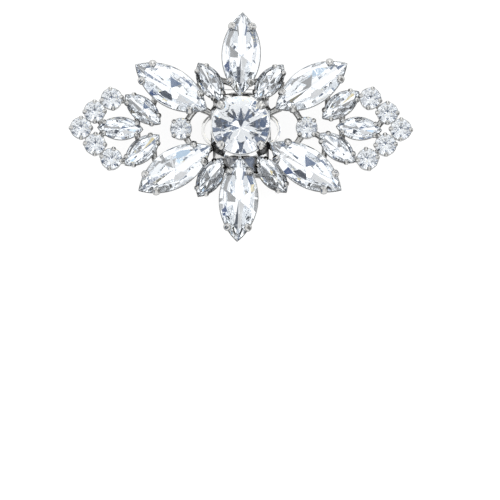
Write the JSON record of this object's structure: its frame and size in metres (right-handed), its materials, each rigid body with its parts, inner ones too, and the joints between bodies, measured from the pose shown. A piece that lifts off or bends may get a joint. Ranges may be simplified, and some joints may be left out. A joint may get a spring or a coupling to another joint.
{
  "type": "crystal shoe clip",
  "caption": "Oblong spray of claw-set clear glass stones, pointed and round, soldered edge to edge on a spring clip for a shoe.",
  "frame": {"origin": "centre of the spray, on the surface that the clip's tongue lies on", "axes": "+Z out of the face of the stones, +X along the spray, +Y across it towards the clip's bend"},
  "size_m": [0.0608, 0.041, 0.0108],
  "materials": {
    "bright_metal": "bright silver plating over brass",
    "clip_metal": "plated spring steel",
    "crystal": "clear cut glass with a silver foil behind it"
  },
  "bodies": {
    "root": {"settings": "bright_metal", "clip": "clip_metal", "centre_stone": "crystal", "petal_top": "crystal", "petal_upper_right": "crystal", "petal_lower_right": "crystal", "petal_bottom": "crystal", "petal_lower_left": "crystal", "petal_upper_left": "crystal", "leaf_upper_right": "crystal", "leaf_lower_right": "crystal", "leaf_lower_left": "crystal", "leaf_upper_left": "crystal", "fan_right_upper": "crystal", "fan_right_middle": "crystal", "fan_right_lower": "crystal", "fan_left_upper": "crystal", "fan_left_middle": "crystal", "fan_left_lower": "crystal", "inner_right": "crystal", "inner_left": "crystal", "edge_right_1": "crystal", "edge_right_2": "crystal", "edge_right_3": "crystal", "edge_right_4": "crystal", "edge_right_5": "crystal", "edge_left_1": "crystal", "edge_left_2": "crystal", "edge_left_3": "crystal", "edge_left_4": "crystal", "edge_left_5": "crystal"}
  },
  "joints": []
}
